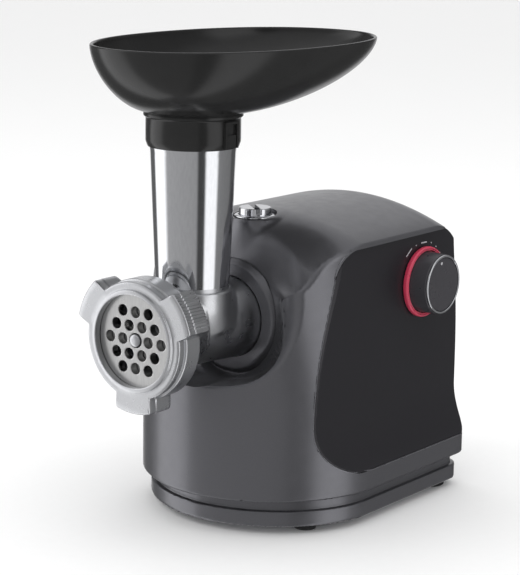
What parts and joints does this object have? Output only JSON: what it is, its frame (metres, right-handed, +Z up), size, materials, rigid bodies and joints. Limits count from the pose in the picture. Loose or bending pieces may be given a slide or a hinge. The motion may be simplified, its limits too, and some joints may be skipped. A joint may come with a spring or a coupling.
{
  "type": "electric meat grinder",
  "caption": "Countertop electric meat grinder with a cast grinding head, hole plate under a lugged ring nut, feed tube, hopper tray, side knob and release button.",
  "frame": {"origin": "bottom centre of the overall box, on the surface that the feet stand on", "axes": "+Z up, -Y the way the meat comes out of the hole plate, +X the side with the control knob; the grinding axis lies along Y"},
  "size_m": [0.171, 0.2626, 0.3044],
  "materials": {
    "shell_graphite": "satin metallic graphite paint over moulded plastic",
    "panel_dark": "satin moulded dark grey plastic",
    "tray_black": "glossy moulded black plastic",
    "trim_dark": "matt moulded plastic",
    "ring_red": "satin moulded raspberry red plastic",
    "head_polished": "cast aluminium, polished tube and blasted barrel",
    "cast_metal": "cast and tumbled metal",
    "steel": "ground steel",
    "chrome": "bright plated",
    "zinc": "zinc plated or plain sheet metal",
    "foot_rubber": "matt rubber",
    "nylon": "natural nylon",
    "copper": "enamelled copper",
    "brass": "plain brass",
    "carbon": "pressed carbon",
    "circuit": "green circuit board"
  },
  "bodies": {
    "housing": {"main_shell": "shell_graphite", "base_plate": "shell_graphite", "side_panel_right": "panel_dark", "side_panel_left": "panel_dark", "rear_cover": "trim_dark", "cord_gland": "foot_rubber", "front_foot_right": "foot_rubber", "front_foot_left": "foot_rubber", "rear_foot_right": "foot_rubber", "rear_foot_left": "foot_rubber", "head_socket": "trim_dark", "button_bezel": "chrome", "button_spring": "steel", "knob_ring": "ring_red", "rotary_switch": "trim_dark", "idler_axle": "steel", "gearbox_case": "zinc", "gearbox_cover": "zinc", "front_bush": "brass", "rear_bush": "brass", "front_bearing": "steel", "rear_bearing": "steel", "stator": "zinc", "field_coil_right": "copper", "field_coil_left": "copper", "brush_holder_right": "brass", "brush_holder_left": "brass", "carbon_brush_right": "carbon", "carbon_brush_left": "carbon", "motor_cradle": "zinc", "control_board": "circuit", "base_screw_1": "zinc", "gearbox_screw_1": "zinc", "base_screw_2": "zinc", "gearbox_screw_2": "zinc", "base_screw_3": "zinc", "gearbox_screw_3": "zinc", "base_screw_4": "zinc", "gearbox_screw_4": "zinc"},
    "drive": {"auger": "cast_metal", "knife": "steel", "auger_washer": "nylon", "drive_shaft": "steel", "output_gear": "nylon"},
    "idler": {"idler_gear": "nylon"},
    "rotor": {"motor_shaft": "steel", "motor_pinion": "steel", "armature": "zinc", "commutator": "copper", "cooling_fan": "tray_black"},
    "knob": {"knob": "trim_dark", "knob_trim": "chrome"},
    "release_button": {"release_button": "chrome"},
    "head": {"head_casting": "head_polished", "hole_plate": "steel"},
    "ring_nut": {"ring_nut": "cast_metal"},
    "tray": {"tray": "tray_black"}
  },
  "joints": [
    {"name": "drive_spin", "type": "hinge", "parent": "housing", "child": "drive", "pos_m": [0, -0.0587, 0.131], "axis": [0, 1, 0], "continuous": true},
    {"name": "idler_spin", "type": "hinge", "parent": "housing", "child": "idler", "pos_m": [0.02604, 0.0133, 0.09247], "axis": [0, 1, 0], "continuous": true},
    {"name": "rotor_spin", "type": "hinge", "parent": "housing", "child": "rotor", "pos_m": [0, 0.0613, 0.071], "axis": [0, 1, 0], "continuous": true},
    {"name": "knob_turn", "type": "hinge", "parent": "housing", "child": "knob", "pos_m": [0.08, 0.0853, 0.145], "axis": [-1, 0, 0], "range_deg": [-45, 45]},
    {"name": "button_press", "type": "slide", "parent": "housing", "child": "release_button", "axis": [0, 0, -1], "range_m": [0, 0.004], "stiffness_N_per_m": 700, "springref_m": -0.003, "deforming": ["button_spring"]},
    {"name": "head_turn", "type": "hinge", "parent": "housing", "child": "head", "pos_m": [0, -0.0587, 0.131], "axis": [0, 1, 0], "range_deg": [0, 40]},
    {"name": "ring_nut_turn", "type": "hinge", "parent": "head", "child": "ring_nut", "pos_m": [0, -0.1107, 0.131], "axis": [0, -1, 0], "range_deg": [0, 360]},
    {"name": "tray_lift", "type": "slide", "parent": "head", "child": "tray", "axis": [0, 0, 1], "range_m": [0, 0.06]}
  ],
  "couplings": [
    {"joint": "idler_spin", "follows": "drive_spin", "ratio": -4.1667},
    {"joint": "rotor_spin", "follows": "drive_spin", "ratio": 18.333}
  ]
}
